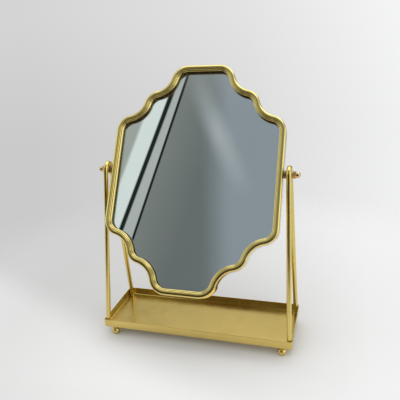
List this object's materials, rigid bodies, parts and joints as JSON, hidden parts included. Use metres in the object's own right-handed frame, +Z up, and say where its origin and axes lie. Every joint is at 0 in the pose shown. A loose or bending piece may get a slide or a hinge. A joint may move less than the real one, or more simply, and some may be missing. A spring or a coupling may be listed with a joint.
{
  "type": "tabletop swivel mirror",
  "caption": "Tabletop mirror with a scalloped moulded frame, swivelling between bent-wire stands on a shallow tray with ball feet.",
  "frame": {"origin": "on the table under the middle of the tray", "axes": "+X to the user's right, +Y to the back, +Z up"},
  "size_m": [0.2352, 0.1476, 0.3136],
  "materials": {
    "tray_metal": "satin gold plate on folded sheet",
    "foot_metal": "satin gold plate",
    "stand_metal": "satin gold plate on bent wire",
    "frame_metal": "semi-gloss gold plate",
    "hardware_metal": "bright gold plate",
    "mirror_glass": "silvered glass",
    "board": "smooth hardboard",
    "tab_steel": "plain bent sheet",
    "stud_steel": "plain threaded rod",
    "spacer_grey": "satin grey"
  },
  "bodies": {
    "stand": {"tray": "tray_metal", "foot_front_left": "foot_metal", "foot_front_right": "foot_metal", "foot_back_left": "foot_metal", "foot_back_right": "foot_metal", "stand_left": "stand_metal", "stand_right": "stand_metal"},
    "mirror": {"moulding": "frame_metal", "glass": "mirror_glass", "backing_board": "board", "tab_top": "tab_steel", "tab_bottom": "tab_steel", "tab_left_upper": "tab_steel", "tab_left_lower": "tab_steel", "tab_right_upper": "tab_steel", "tab_right_lower": "tab_steel", "stud_left": "stud_steel", "stud_right": "stud_steel", "spacer_left": "spacer_grey", "spacer_right": "spacer_grey", "washer_left": "hardware_metal", "washer_right": "hardware_metal", "cap_nut_left": "hardware_metal", "cap_nut_right": "hardware_metal"}
  },
  "joints": [
    {"name": "mirror_swivel", "type": "hinge", "parent": "stand", "child": "mirror", "pos_m": [0, 0, 0.203], "axis": [1, 0, 0], "continuous": true}
  ]
}
